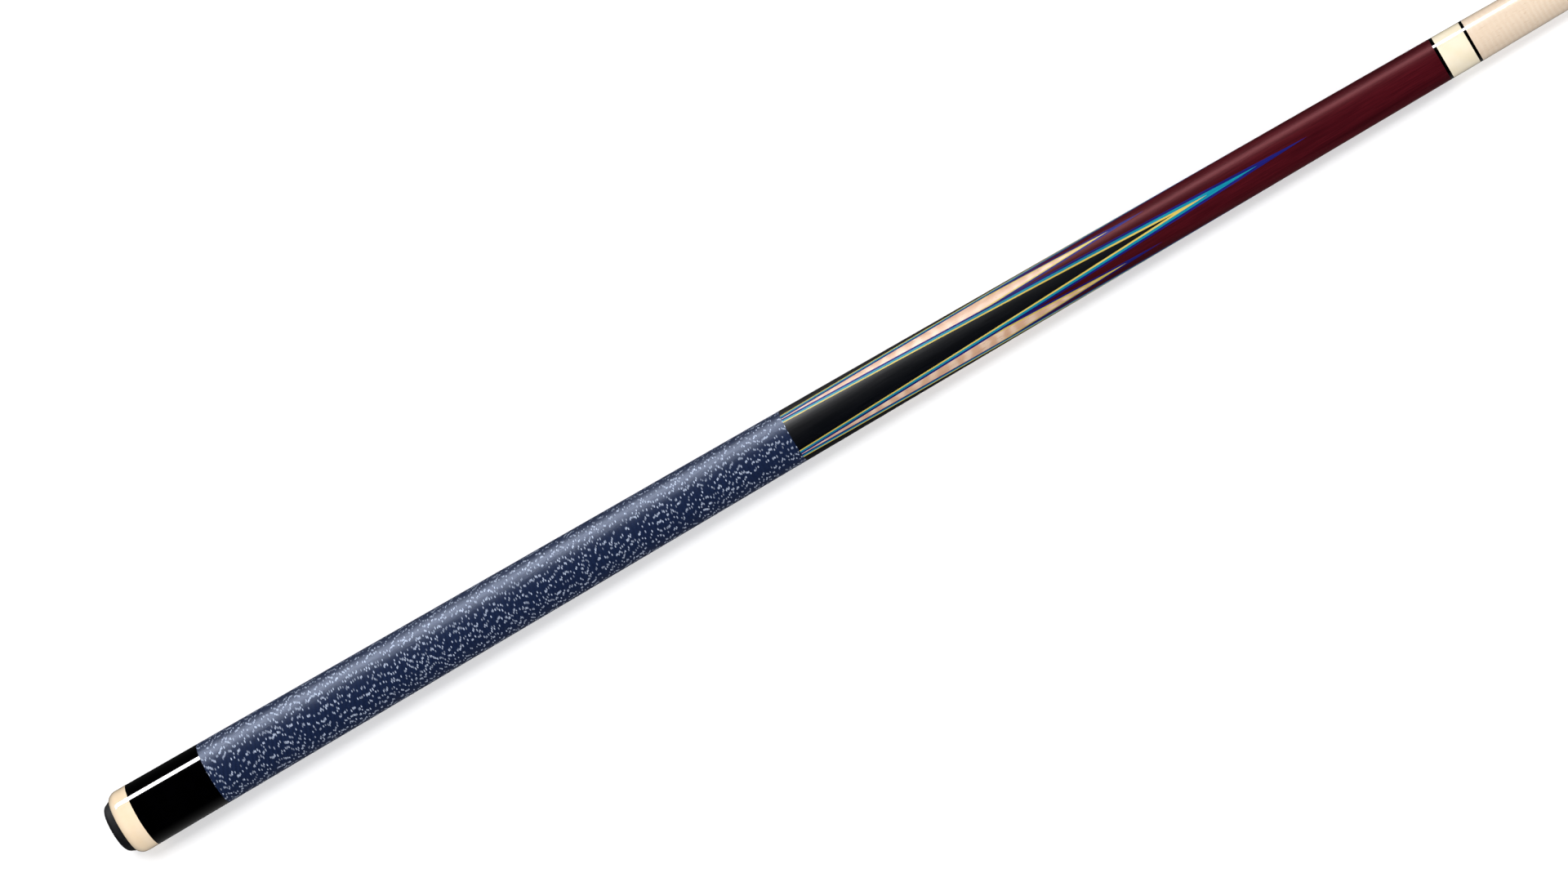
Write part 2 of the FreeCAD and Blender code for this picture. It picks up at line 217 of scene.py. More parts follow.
class Nodes:
    """Short ways to add nodes to a node tree."""

    def __init__(self, tree):
        self.tree = tree

    def add(self, kind, inputs=(), **settings):
        made = self.tree.nodes.new(kind)
        for name, value in settings.items():
            setattr(made, name, value)
        for key, value in dict(inputs).items():
            self.feed(made.inputs[key], value)
        return made

    def feed(self, socket, value):
        if isinstance(value, bpy.types.NodeSocket):
            self.tree.links.new(value, socket)
        else:
            socket.default_value = value

    def noise(self, vector, detail=2.0, rough=0.5):
        inputs = {"Vector": vector, "Scale": 1.0, "Detail": detail, "Roughness": rough}
        return self.add("ShaderNodeTexNoise", inputs).outputs["Fac"]

    def sum(self, operation, first, second=0.0, third=0.0):
        """The result of a Math node's operation."""
        made = self.add("ShaderNodeMath", operation=operation)
        for socket, value in zip(made.inputs, (first, second, third)):
            self.feed(socket, value)
        return made.outputs["Value"]

    def span(self, value, from_low, from_high, to_low=0.0, to_high=1.0, smooth_step=False):
        """A value taken from one range to another and held inside it."""
        kind = "SMOOTHSTEP" if smooth_step else "LINEAR"
        inputs = {"Value": value, "From Min": from_low, "From Max": from_high,
                  "To Min": to_low, "To Max": to_high}
        return self.add("ShaderNodeMapRange", inputs, interpolation_type=kind).outputs["Result"]

    def mix(self, amount, first, second):
        """A colour between two others. The node's colour sockets share their names with hidden ones."""
        first_colour, second_colour, mixed_colour = 6, 7, 2
        made = self.add("ShaderNodeMix", data_type="RGBA")
        self.feed(made.inputs["Factor"], amount)
        self.feed(made.inputs[first_colour], first)
        self.feed(made.inputs[second_colour], second)
        return made.outputs[mixed_colour]


class Paint(Nodes):
    """A material, and ways to lay patterns along and round the cue."""

    def __init__(self, name):
        self.material = bpy.data.materials.new(name)
        self.material.use_nodes = True
        super().__init__(self.material.node_tree)
        self.shader = self.tree.nodes["Principled BSDF"]
        self.coordinates = self.add("ShaderNodeTexCoord")

    def place(self, scale):
        """Object coordinates in metres, times a scale for each axis, in features to the metre."""
        inputs = {"Vector": self.coordinates.outputs["Object"], "Scale": scale}
        return self.add("ShaderNodeMapping", inputs).outputs["Vector"]

    def bump(self, height, distance, strength=1.0):
        inputs = {"Height": height, "Distance": distance, "Strength": strength}
        self.feed(self.shader.inputs["Normal"], self.add("ShaderNodeBump", inputs).outputs["Normal"])

    def set(self, **sockets):
        """Set the shader's sockets, their names written with underscores."""
        for name, value in sockets.items():
            self.feed(self.shader.inputs[name.replace("_", " ")], value)

    def axes(self):
        return self.add("ShaderNodeSeparateXYZ", {"Vector": self.coordinates.outputs["Object"]}).outputs

    def along(self):
        """The distance along the cue, from its bumper."""
        return self.axes()["X"]

    def turn(self):
        """The turn about the cue's axis, from 0 at its underside round to 1 there."""
        axes = self.axes()
        angle = self.sum("ARCTAN2", self.sum("MULTIPLY", axes["Y"], -1.0), axes["Z"])
        return self.sum("MULTIPLY_ADD", angle, 0.5 / math.pi, 0.5)


def stained_wood(name, base, dark, light, satin, tint=(1, 1, 1, 1), gloss=0.22):
    """Straight-grained wood under satin lacquer: long fibres, slow tone changes and faint pores."""
    paint = Paint(name)
    fibres = paint.noise(paint.place((60, 2600, 2600)), detail=3, rough=0.6)
    tone = paint.noise(paint.place((9, 160, 160)), detail=2)
    colour = paint.mix(paint.span(fibres, 0.38, 0.72), base, light)
    colour = paint.mix(paint.span(tone, 0.5, 0.75), colour, dark)
    pores = paint.noise(paint.place((220, 5200, 5200)), detail=2)
    paint.bump(paint.span(pores, 0.4, 0.7), 0.00002, 0.35)
    paint.set(Base_Color=colour, Roughness=paint.span(fibres, 0.3, 0.7, satin - 0.03, satin + 0.05),
              Specular_IOR_Level=gloss, Specular_Tint=tint)
    return paint.material


def curly_maple(name, pale, warm, deep, roughness, figure, coat=0.0):
    """Maple with soft bands of curl across the grain, over fine fibres and flecks.

    A band is `figure` mm times two pi long.
    """
    paint = Paint(name)
    wander = paint.noise(paint.place((50, 120, 120)), detail=2)
    crooked = paint.sum("MULTIPLY", wander, 9.0)
    bands = paint.sum("MULTIPLY_ADD", paint.along(), 1 / (figure * MM), crooked)
    bands = paint.sum("SINE", bands)
    soft = paint.noise(paint.place((26, 90, 90)), detail=3)
    curl = paint.sum("MULTIPLY", paint.span(bands, -1, 1), paint.span(soft, 0.35, 0.65, 0.3, 1))
    fibres = paint.noise(paint.place((110, 3400, 3400)), detail=3, rough=0.65)
    flecks = paint.noise(paint.place((420, 1500, 1500)), detail=2)
    colour = paint.mix(paint.span(curl, 0.0, 0.85, smooth_step=True), warm, pale)
    colour = paint.mix(paint.span(fibres, 0.55, 0.8, 0.0, 0.55), colour, deep)
    colour = paint.mix(paint.span(flecks, 0.62, 0.7, 0.0, 0.4), colour, deep)
    paint.bump(fibres, 0.00002, 0.3)
    paint.set(Base_Color=colour, Roughness=roughness, Coat_Weight=coat, Coat_Roughness=0.05,
              Specular_IOR_Level=0.4)
    return paint.material


def polished(name, base, second, roughness=0.08):
    """Cast resin or lacquer, polished, with a slow change of tone and faint turning marks."""
    paint = Paint(name)
    cloud = paint.noise(paint.place((130, 130, 130)), detail=3)
    marks = paint.noise(paint.place((9000, 60, 60)), detail=1)
    paint.bump(marks, 0.000002, 0.2)
    paint.set(Base_Color=paint.mix(paint.span(cloud, 0.35, 0.7), base, second),
              Roughness=paint.span(marks, 0.3, 0.7, roughness * 0.7, roughness * 1.3),
              Specular_IOR_Level=0.5, Coat_Weight=1.0, Coat_Roughness=0.03)
    return paint.material


def rubber(name, base):
    """Moulded rubber: fine pitting, a powdery bloom and a dull gloss."""
    paint = Paint(name)
    pits = paint.noise(paint.place((4200, 4200, 4200)), detail=3, rough=0.7)
    bloom = paint.noise(paint.place((220, 220, 220)), detail=3)
    paint.bump(pits, 0.00004, 0.5)
    paint.set(Base_Color=paint.mix(paint.span(bloom, 0.45, 0.75, 0, 0.5), base, srgb(46, 46, 49)),
              Roughness=paint.span(pits, 0.3, 0.7, 0.5, 0.66), Specular_IOR_Level=0.35)
    return paint.material


def turned_metal(name, base, roughness):
    """Turned metal with fine tool marks round its axis."""
    paint = Paint(name)
    marks = paint.noise(paint.place((16000, 40, 40)), detail=2)
    paint.bump(marks, 0.000008, 0.4)
    paint.set(Base_Color=base, Metallic=1.0,
              Roughness=paint.span(marks, 0.3, 0.7, roughness * 0.8, roughness * 1.3))
    return paint.material


THREAD_PITCH = 0.56 * MM
FLECKS_ROUND = 24            # places for a fleck in one turn of the thread
FLECK_SHARE = 0.54           # the part of these places that holds one
PLIES_ROUND = 110            # twists of the thread's plies in one turn


def linen(name):
    """Pressed navy linen thread, wound round the handle, with white flecks in single threads."""
    paint = Paint(name)
    turn = paint.turn()
    laid = paint.sum("DIVIDE", paint.along(), THREAD_PITCH)
    wound = paint.sum("ADD", laid, turn)
    thread = paint.sum("FLOOR", wound)
    across = paint.sum("SUBTRACT", paint.sum("SUBTRACT", wound, thread), 0.5)
    # each place in a thread may hold one fleck, and side by side they drift in short wavy rows
    start = paint.add("ShaderNodeCombineXYZ", {"X": paint.sum("MULTIPLY", thread, 0.06)})
    lay = paint.sum("MULTIPLY_ADD", turn, float(FLECKS_ROUND),
                    paint.sum("MULTIPLY", paint.noise(start.outputs["Vector"], detail=1), 5.0))
    place = paint.sum("FLOOR", lay)
    cell = paint.add("ShaderNodeCombineXYZ", {"X": thread, "Y": place}).outputs["Vector"]
    chance = paint.add("ShaderNodeTexWhiteNoise", {"Vector": cell}, noise_dimensions="3D")
    vary = paint.add("ShaderNodeSeparateColor", {"Color": chance.outputs["Color"]}).outputs
    row = paint.add("ShaderNodeCombineXYZ", {"X": paint.sum("MULTIPLY", thread, 0.17),
                                             "Y": paint.sum("MULTIPLY", place, 0.8)})
    drift = paint.noise(row.outputs["Vector"], detail=1)
    inside = paint.sum("SUBTRACT", paint.sum("SUBTRACT", lay, place), 0.5)
    inside = paint.sum("ADD", inside, paint.span(drift, 0.3, 0.7, -0.26, 0.26))
    inside = paint.sum("ADD", inside, paint.span(vary["Blue"], 0, 1, -0.22, 0.22))
    # a fleck is a leaning oval, brightest in its middle
    lean = paint.sum("MULTIPLY_ADD", inside, 0.5, across)
    length = paint.sum("MULTIPLY", inside, paint.span(vary["Red"], 0, 1, 3.8, 7.6))
    oval = paint.sum("ADD", paint.sum("POWER", paint.sum("MULTIPLY", lean, 1.55), 2.0),
                     paint.sum("POWER", length, 2.0))
    oval = paint.span(oval, 0.2, 1.0, 1, 0, smooth_step=True)
    there = paint.sum("LESS_THAN", chance.outputs["Value"], FLECK_SHARE)
    glow = paint.span(vary["Green"], 0, 1, 0.35, 1.0)
    fleck = paint.sum("MULTIPLY", paint.sum("MULTIPLY", oval, there), glow)
    # the plies of the thread cross it on a slant, with dark lines between them: painted shade in the
    # grooves between plies, from the same rise that drives the bump
    slant = paint.sum("MULTIPLY_ADD", turn, float(PLIES_ROUND), laid)
    ply_height_and_shade = paint.span(paint.sum("SINE", paint.sum("MULTIPLY", slant, 2 * math.pi)), -0.6, 0.9)
    fuzz = paint.noise(paint.place((2600, 2600, 2600)), detail=3, rough=0.7)
    # painted shade: the thread's navy goes darker towards the low grooves between the plies
    colour = paint.mix(ply_height_and_shade, srgb(3, 6, 22), srgb(38, 56, 98))
    colour = paint.mix(paint.span(fuzz, 0.4, 0.75, 0.0, 0.5), colour, srgb(10, 16, 38))
    colour = paint.mix(fleck, colour, srgb(184, 196, 220))
    height = paint.sum("ADD", ply_height_and_shade, paint.sum("MULTIPLY", fleck, 0.5))
    paint.bump(height, 0.00004)
    paint.set(Base_Color=colour, Roughness=0.36, Specular_IOR_Level=0.55,
              Specular_Tint=(0.68, 0.78, 1.0, 1.0))
    return paint.material


def leather(name):
    """Pressed leather: thin layers that show as dark lines round its side, and a fine grain."""
    paint = Paint(name)
    layer = 0.8 * MM
    wave = paint.noise(paint.place((500, 900, 900)), detail=2)
    uneven = paint.sum("MULTIPLY", wave, 1.5)
    layers = paint.sum("MULTIPLY_ADD", paint.along(), 2 * math.pi / layer, uneven)
    layers = paint.span(paint.sum("SINE", layers), 0.75, 1.0, smooth_step=True)
    grain = paint.noise(paint.place((3000, 3000, 3000)), detail=4, rough=0.7)
    colour = paint.mix(paint.span(grain, 0.3, 0.7), srgb(104, 66, 36), srgb(150, 106, 66))
    colour = paint.mix(paint.sum("MULTIPLY", layers, 0.7), colour, srgb(62, 36, 18))
    paint.bump(grain, 0.00008, 0.6)
    paint.set(Base_Color=colour, Roughness=paint.span(grain, 0.3, 0.7, 0.55, 0.8))
    return paint.material


MATERIALS = {
    "bumper_rubber": rubber("bumper_rubber", srgb(22, 22, 24)),
    "cap_ivory": polished("cap_ivory", srgb(251, 226, 192), srgb(253, 232, 203)),
    "sleeve_black": polished("sleeve_black", srgb(0, 0, 0), srgb(1, 1, 2), roughness=0.06),
    "handle_maple": curly_maple("handle_maple", srgb(226, 196, 160), srgb(206, 172, 134),
                                srgb(150, 112, 78), 0.55, 1.2),
    "wrap_linen": linen("wrap_linen"),
    "bolt_steel": turned_metal("bolt_steel", srgb(150, 152, 156), 0.34),
    "ring_rubber": rubber("ring_rubber", srgb(18, 18, 20)),
    "stud_steel": turned_metal("stud_steel", srgb(150, 152, 156), 0.36),
    "veneer_navy": stained_wood("veneer_navy", srgb(20, 22, 102), srgb(13, 15, 78),
                                srgb(40, 38, 126), 0.42, (0.4, 0.4, 1.0, 1.0), 0.15),
    "veneer_teal": stained_wood("veneer_teal", srgb(5, 125, 151), srgb(3, 106, 132),
                                srgb(26, 147, 169), 0.42, (0.6, 0.95, 1.0, 1.0)),
    "veneer_yellow": stained_wood("veneer_yellow", srgb(203, 180, 80), srgb(188, 164, 66),
                                  srgb(216, 196, 104), 0.42),
    "point_black": stained_wood("point_black", srgb(6, 8, 13), srgb(3, 4, 7),
                                srgb(15, 16, 21), 0.44, gloss=0.35),
    "point_maple": curly_maple("point_maple", srgb(231, 200, 176), srgb(212, 169, 139),
                               srgb(176, 124, 92), 0.42, 1.4),
    "forearm_burgundy": stained_wood("forearm_burgundy", srgb(60, 10, 18), srgb(47, 6, 13),
                                     srgb(80, 17, 26), 0.36, (1.0, 0.3, 0.33, 1.0), 0.13),
    "ring_black": polished("ring_black", srgb(1, 1, 1), srgb(2, 2, 3)),
    "collar_ivory": polished("collar_ivory", srgb(252, 240, 216), srgb(250, 236, 206)),
    "pin_steel": turned_metal("pin_steel", srgb(196, 198, 202), 0.22),
    "insert_brass": turned_metal("insert_brass", srgb(214, 172, 96), 0.24),
    "shaft_maple": curly_maple("shaft_maple", srgb(237, 217, 195), srgb(233, 211, 187),
                               srgb(210, 180, 150), 0.34, 0.42, coat=1.0),
    "ferrule_white": polished("ferrule_white", srgb(238, 236, 228), srgb(244, 243, 238)),
    "pad_fibre": rubber("pad_fibre", srgb(24, 24, 26)),
    "tip_leather": leather("tip_leather"),
}


# ---------------------------------------------------------------- butt end
def make_bumper():
    """Domed nose with a small dimple, and the ribbed stem that the socket grips."""
    nose = rim("bumper")
    shoulder = widest("bumper")
    rear, front, cap = low("bumper"), high("bumper"), low("butt_cap")
    stem = 7.95 * MM
    neck = 7.3 * MM
    dimple, dimple_depth = 1.9 * MM, 0.7 * MM
    corners = [
        (front, 0, 0),
        (front, stem, 0.7 * MM),
        (front - 2.3 * MM, stem, 0.25 * MM),
        (front - 3.0 * MM, neck, 0.25 * MM),
        (cap + 3.0 * MM, neck, 0.25 * MM),
        (cap + 2.25 * MM, stem, 0.25 * MM),
        (cap, stem, 0.0),
        (cap, shoulder, 0.35 * MM),
        (rear + 1.2 * MM, 11.8 * MM, 1.1 * MM),
        (rear, nose + 1.0 * MM, 1.0 * MM),
        (rear, dimple, 0.35 * MM),
        (rear + dimple_depth, dimple * 0.6, 0.3 * MM),
        (rear + dimple_depth, 0, 0),
    ]
    piece = lathe("rubber_bumper", eased(corners, closed=False), closed=False)
    finish_piece(piece, "bumper", "bumper_rubber", "bumper")


def make_butt_cap():
    """Cream cap with a rounded shoulder behind the sleeve."""
    rear, front = low("butt_cap"), high("butt_cap")
    bore, end = rim("butt_cap", outer=False), rim("butt_cap")
    shoulder = rear + 4.4 * MM
    bulge, support, edge = 5.6 * MM, 0.3 * MM, 0.22 * MM
    centre = Vector((shoulder, taper(shoulder) - bulge))
    stop = math.degrees(math.atan2(end - centre.y, rear - centre.x))
    outline = [(rear, bore), (front, bore), (front, taper(front)), (shoulder + support, taper(shoulder))]
    outline += arc(centre, bulge, 90, stop, 14)[:-1]
    outline += bend(outline[-1], (rear, end), (rear, bore), edge)
    piece = lathe("cream_butt_cap", outline)
    finish_piece(piece, "butt", "cap_ivory", "butt_cap")


def straight_tube(name, node, slot, rear_edge=0.0, front_edge=0.0, body="butt"):
    """A tapered ring or sleeve, its outer edges rounded by rear_edge and front_edge."""
    rear, front = low(node), high(node)
    bore = rim(node, outer=False)
    corners = [
        (rear, bore, 0),
        (front, bore, 0),
        (front, rim(node, front=True), front_edge),
        (rear, rim(node), rear_edge),
    ]
    piece = lathe(name, eased(corners))
    finish_piece(piece, body, slot, node)


def make_wrap():
    """Linen wrap with every turn of its thread standing up as a low ridge."""
    rear, front = low("linen_wrap"), high("linen_wrap")
    per_thread, facets = 4, 50
    thickness, press = 0.6 * MM, 0.05 * MM
    count = int((front - rear) / THREAD_PITCH) * per_thread
    outline = [(rear, taper(rear) - thickness), (front, taper(front) - thickness)]
    for step in range(count, -1, -1):
        x = rear + (front - rear) * step / count
        dip = press * (0.5 + 0.5 * math.cos(2 * math.pi * step / per_thread))
        outline.append((x, taper(x) - dip))
    piece = lathe("linen_thread_wrap", outline, facets=facets)
    finish_piece(piece, "butt", "wrap_linen", "linen_wrap")


# ---------------------------------------------------------------- forearm
LONG_SIDES = {"left": 0, "top": 90, "right": 180, "bottom": 270}
SHORT_SIDES = {"upper_left": 45, "upper_right": 135, "lower_right": 225, "lower_left": 315}


def make_stock():
    """The forearm as one round piece with its bores and its tenon for the collar."""
    stud, pin, shoulder = high("forearm_stud"), low("joint_pin"), low("joint_trim_ring")
    rear = high("linen_wrap")
    stud_radius, pin_radius = widest("forearm_stud"), rim("joint_pin")
    tenon = rim("joint_collar", outer=False)
    outline = [
        (pin, 0), (pin, pin_radius), (JOINT_FACE, pin_radius), (JOINT_FACE, tenon),
        (shoulder, tenon), (shoulder, taper(shoulder)), (rear, taper(rear)),
        (rear, stud_radius), (stud, stud_radius), (stud, 0),
    ]
    return lathe("forearm_stock", outline, closed=False, facets=STOCK_ROUND)


def groove_bar(node, side):
    """A square bar whose lower edge lies along the floor of the V that a node fills.

    The floor climbs straight to the surface at the node's front end. Its slope is read from the corners
    under the V's middle, and the steepest counts, because the stud's bore leaves corners above the floor.
    """
    angle = math.radians(side)
    out = Vector((0, math.cos(angle), math.sin(angle)))
    across = Vector((0, -math.sin(angle), math.cos(angle)))
    tip = high(node)
    spots = [v.co for v in frame["nodes"][node].data.vertices
             if abs(v.co.dot(across)) < 2 * NEAR and v.co.x < (low(node) + tip) / 2]
    slope = max((taper(tip) - spot.dot(out)) / (tip - spot.x) for spot in spots)

    overrun = 4 * MM             # behind the stock
    ample = 2.2                  # in radii, so that the bar's walls reach past the surface
    start = high("linen_wrap") - overrun
    length = high("joint_trim_ring") - start
    width = ample * rim("linen_wrap", front=True)
    corners = [(x, y, z) for x in (0, length) for y in (0, width) for z in (0, width)]
    faces = [(0, 1, 3, 2), (4, 6, 7, 5), (0, 4, 5, 1), (2, 3, 7, 6), (0, 2, 6, 4), (1, 5, 7, 3)]
    bar = new_piece(f"{node}_bar", corners, faces)
    floor = Vector((start, taper(tip) - slope * (tip - start), 0))
    tilt = Matrix.Rotation(math.atan(slope), 4, "Z") @ Matrix.Rotation(math.radians(-45), 4, "X")
    bar.data.transform(Matrix.Rotation(angle, 4, "X") @ Matrix.Translation(floor) @ tilt)
    return bar


def carved(stock, steps):
    """The mesh that is left of the stock after boolean steps, each an operation and its bar."""
    piece = link(bpy.data.objects.new("carving", stock.data))
    for operation, bar in steps:
        step = piece.modifiers.new(operation, "BOOLEAN")
        step.operation, step.solver, step.object = operation, "EXACT", bar
    bpy.context.view_layer.update()
    graph = bpy.context.evaluated_depsgraph_get()
    made = bpy.data.meshes.new_from_object(piece.evaluated_get(graph))
    bpy.data.objects.remove(piece)
    weld = bmesh.new()
    weld.from_mesh(made)
    bmesh.ops.remove_doubles(weld, verts=weld.verts, dist=WELD)
    weld.to_mesh(made)
    weld.free()
    return made


def round_shading(mesh):
    """Shade the outer faces of a forearm piece as one true cone, and its cut faces flat."""
    mesh.polygons.foreach_set("use_smooth", [True] * len(mesh.polygons))
    mesh.set_sharp_from_angle(angle=SMOOTH)
    off_cone = 0.01 * MM
    normals = [(0, 0, 0)] * len(mesh.loops)
    for face in mesh.polygons:
        spots = [mesh.vertices[index].co for index in face.vertices]
        if any(abs(math.hypot(spot.y, spot.z) - taper(spot.x)) > off_cone for spot in spots):
            continue
        for loop, spot in zip(face.loop_indices, spots):
            reach = math.hypot(spot.y, spot.z)
            normals[loop] = Vector((TAPER_SLOPE, spot.y / reach, spot.z / reach)).normalized()
    mesh.normals_split_custom_set(normals)


def place_forearm_piece(node, mesh, turn, slot):
    """A copy of a carved mesh, turned about the axis by degrees to where its node is."""
    piece = link(bpy.data.objects.new(f"inlay_{node}", mesh.copy()))
    piece.data.transform(Matrix.Rotation(math.radians(turn), 4, "X"))
    round_shading(piece.data)
    finish_piece(piece, "butt", slot, node)


def make_inlays(stock, kind, colours, sides, core_slot):
    """Veneers and wedge of one groove, carved once and laid in all four.

    It returns cuts for all four grooves at their full width.
    """
    first_side, first_turn = next(iter(sides.items()))
    names = [f"{kind}_veneer_{colour}" for colour in colours] + [f"{kind}_point"]
    slots = [f"veneer_{colour}" for colour in colours] + [core_slot]
    bars = [groove_bar(f"{name}_{first_side}", first_turn) for name in names]
    for index, (name, slot) in enumerate(zip(names, slots)):
        next_bar = bars[index + 1:index + 2]
        mesh = carved(stock, [("INTERSECT", bars[index])] + [("DIFFERENCE", bar) for bar in next_bar])
        for side, turn in sides.items():
            place_forearm_piece(f"{name}_{side}", mesh, turn - first_turn, slot)
    for bar in bars:
        bpy.data.objects.remove(bar)
    return [("DIFFERENCE", groove_bar(f"{names[0]}_{side}", turn)) for side, turn in sides.items()]


def make_forearm():
    """Long points first, then short ones in what the long grooves leave, then the rest of the stock."""
    stock = make_stock()
    cuts = make_inlays(stock, "long", ("navy", "teal", "yellow"), LONG_SIDES, "point_black")
    stock.data = carved(stock, cuts)
    cuts += make_inlays(stock, "short", ("navy", "yellow"), SHORT_SIDES, "point_maple")
    blank = carved(stock, cuts[len(LONG_SIDES):])
    place_forearm_piece("forearm_blank", blank, 0, "forearm_burgundy")
    bpy.data.objects.remove(stock)
    for _, bar in cuts:
        bpy.data.objects.remove(bar)


# ---------------------------------------------------------------- joint
SCREW_PITCH = 25.4 * MM / 10      # ten threads to the inch, right-handed
RINGS_PER_THREAD = 12
PARTING_EDGE = 0.12 * MM          # easing on both sides of the joint's parting line
TURNING_ROOM = 0.02 * MM          # between the shaft and the ring that it turns in


def thread_height(x, turn, crest, root):
    """How far up a thread's flank a spot is: 1 over the crest's width, 0 over the root's."""
    phase = (x / SCREW_PITCH - turn / (2 * math.pi)) % 1
    away = min(phase, 1 - phase)
    return min(max((0.5 - root / 2 - away) / (0.5 - root / 2 - crest / 2), 0), 1)


def thread_rings(rear, front, radius):
    """Points of an outline, close enough along the axis to hold a thread."""
    count = round((front - rear) / SCREW_PITCH * RINGS_PER_THREAD)
    return [(rear + (front - rear) * step / count, radius) for step in range(count + 1)]


def make_joint_pin():
    """Stainless pin with a right-hand thread, a plain root in the collar and a plain pilot."""
    rear, front = low("joint_pin"), high("joint_pin")
    body = widest("joint_pin")
    pilot, pilot_length, pilot_edge = 3.7 * MM, 3.0 * MM, 0.5 * MM
    depth, crest, root = 0.95 * MM, 0.36, 0.3
    thread_start, thread_end = JOINT_FACE + 1.2 * MM, front - pilot_length - 1.0 * MM

    def cut(x, radius, turn):
        if radius < body or not thread_start < x < thread_end:
            return 0
        return -depth * (1 - thread_height(x, turn, crest, root))

    outline = [(front, 0)]
    outline += bend((front, 0), (front, pilot), (front - pilot_length, pilot), pilot_edge)
    outline += [(front - pilot_length, pilot), (thread_end, body)]
    outline += thread_rings(thread_start, thread_end, body)[::-1][1:]
    outline += [(rear, body), (rear, 0)]
    piece = lathe("threaded_joint_pin", outline, closed=False, facets=THREAD_ROUND, relief=cut)
    finish_piece(piece, "butt", "pin_steel", "joint_pin")


def make_insert():
    """Brass insert with a chamfered mouth and the pin's thread cut inside it."""
    rear, front = low("shaft_insert"), high("shaft_insert")
    outer = rim("shaft_insert", front=True)
    bore, mouth = rim("shaft_insert", front=True, outer=False), 0.5 * MM
    height, crest, root = 0.75 * MM, 0.56, 0.2
    thread_start = rear + 2 * mouth

    def ridge(x, radius, turn):
        if radius > bore or not thread_start < x < front - mouth:
            return 0
        return -height * (1 - thread_height(x, turn, crest, root))

    outline = [(rear, bore + mouth), (rear + mouth, bore)]
    outline += thread_rings(thread_start, front, bore)
    outline += [(front, outer), (rear, outer)]
    piece = lathe("threaded_brass_insert", outline, facets=THREAD_ROUND, relief=ridge)
    finish_piece(piece, "shaft", "insert_brass", "shaft_insert")


# ---------------------------------------------------------------- shaft and tip
def outer_line(node):
    """The corners of a node's outer surface from rear to front, as (x, radius), x to 0.0001 mm."""
    widest_at = {}
    for vertex in frame["nodes"][node].data.vertices:
        x = round(vertex.co.x, 7)
        reach = math.hypot(vertex.co.y, vertex.co.z)
        widest_at[x] = max(reach, widest_at.get(x, 0))
    return sorted(widest_at.items())


def falling_taper(spots, rear, front):
    """The corners between rear and front that no later one stands higher than."""
    spots = [spot for spot in spots if rear - NEAR < spot[0] < front + NEAR]
    return [spot for index, spot in enumerate(spots)
            if spot[1] >= max(spots[index:], key=itemgetter(1))[1]]


def make_shaft():
    """Maple shaft with a tenon for its ring at the rear and one for the ferrule at the front."""
    rear, shoulder, ferrule = low("shaft_wood"), high("shaft_ring"), low("ferrule")
    insert_end, insert = high("shaft_insert"), rim("shaft_insert", front=True)
    ring_tenon = rim("shaft_ring", outer=False) - TURNING_ROOM
    tip_tenon = rim("ferrule", outer=False)
    stations = falling_taper(outer_line("shaft_wood"), shoulder, ferrule)
    stations[0] = (shoulder + TURNING_ROOM, stations[0][1])
    end = high("shaft_wood")
    outline = [
        (insert_end, 0), (insert_end, insert), (rear, insert), (rear, ring_tenon),
        (stations[0][0], ring_tenon), *stations,
        (ferrule, tip_tenon), (end, tip_tenon), (end, 0),
    ]
    piece = lathe("tapered_maple_shaft", outline[::-1], closed=False)
    finish_piece(piece, "shaft", "shaft_maple", "shaft_wood")


def make_ferrule():
    """White ferrule, capped in front of the shaft's tenon."""
    rear, front, tenon_end = low("ferrule"), high("ferrule"), high("shaft_wood")
    outer, bore = rim("ferrule"), rim("ferrule", outer=False)
    edge = 0.1 * MM
    corners = [(tenon_end, 0, 0), (tenon_end, bore, 0), (rear, bore, 0), (rear, outer, edge),
               (front, outer, edge), (front, 0, 0)]
    piece = lathe("capped_white_ferrule", eased(corners[::-1], closed=False), closed=False)
    finish_piece(piece, "shaft", "ferrule_white", "ferrule")


def make_pad():
    """Thin fibre pad between the ferrule and the leather."""
    rear, front, outer = low("tip_pad"), high("tip_pad"), rim("tip_pad")
    edge = 0.14 * MM
    corners = [(front, 0, 0), (front, outer, edge), (rear, outer, edge), (rear, 0, 0)]
    piece = lathe("fibre_tip_pad", eased(corners, closed=False), closed=False)
    finish_piece(piece, "shaft", "pad_fibre", "tip_pad")


def make_tip():
    """Pressed leather tip: layers stand out round its side, and its face is a shallow dome."""
    rear, front, outer = low("leather_tip"), high("leather_tip"), widest("leather_tip")
    side = max(x for x, reach in outer_line("leather_tip") if reach > outer - NEAR)
    rise = front - side
    dome = (outer**2 + rise**2) / (2 * rise)
    layer, groove = 0.73 * MM, 0.05 * MM
    dent, dents_round, dents_along = 0.03 * MM, 7, 900
    half_angle = math.degrees(math.asin(outer / dome))
    outline = arc((front - dome, 0), dome, 0, half_angle, 24)
    steps = 8
    count = int((side - rear) / layer) * steps
    for step in range(1, count + 1):
        dip = groove * (0.5 - 0.5 * math.cos(2 * math.pi * step / steps))
        outline.append((side + (rear - side) * step / count, outer - dip))
    outline.append((rear, 0))

    def nap(x, radius, turn):
        """The dome's small dents from scuffing, which fade out towards its edge."""
        if x <= side:
            return 0
        wave = math.sin(dents_round * turn + dents_along * x)
        return -dent * abs(wave) * (1 - radius / outer)

    piece = lathe("domed_leather_tip", outline, closed=False, relief=nap)
    finish_piece(piece, "shaft", "tip_leather", "leather_tip")


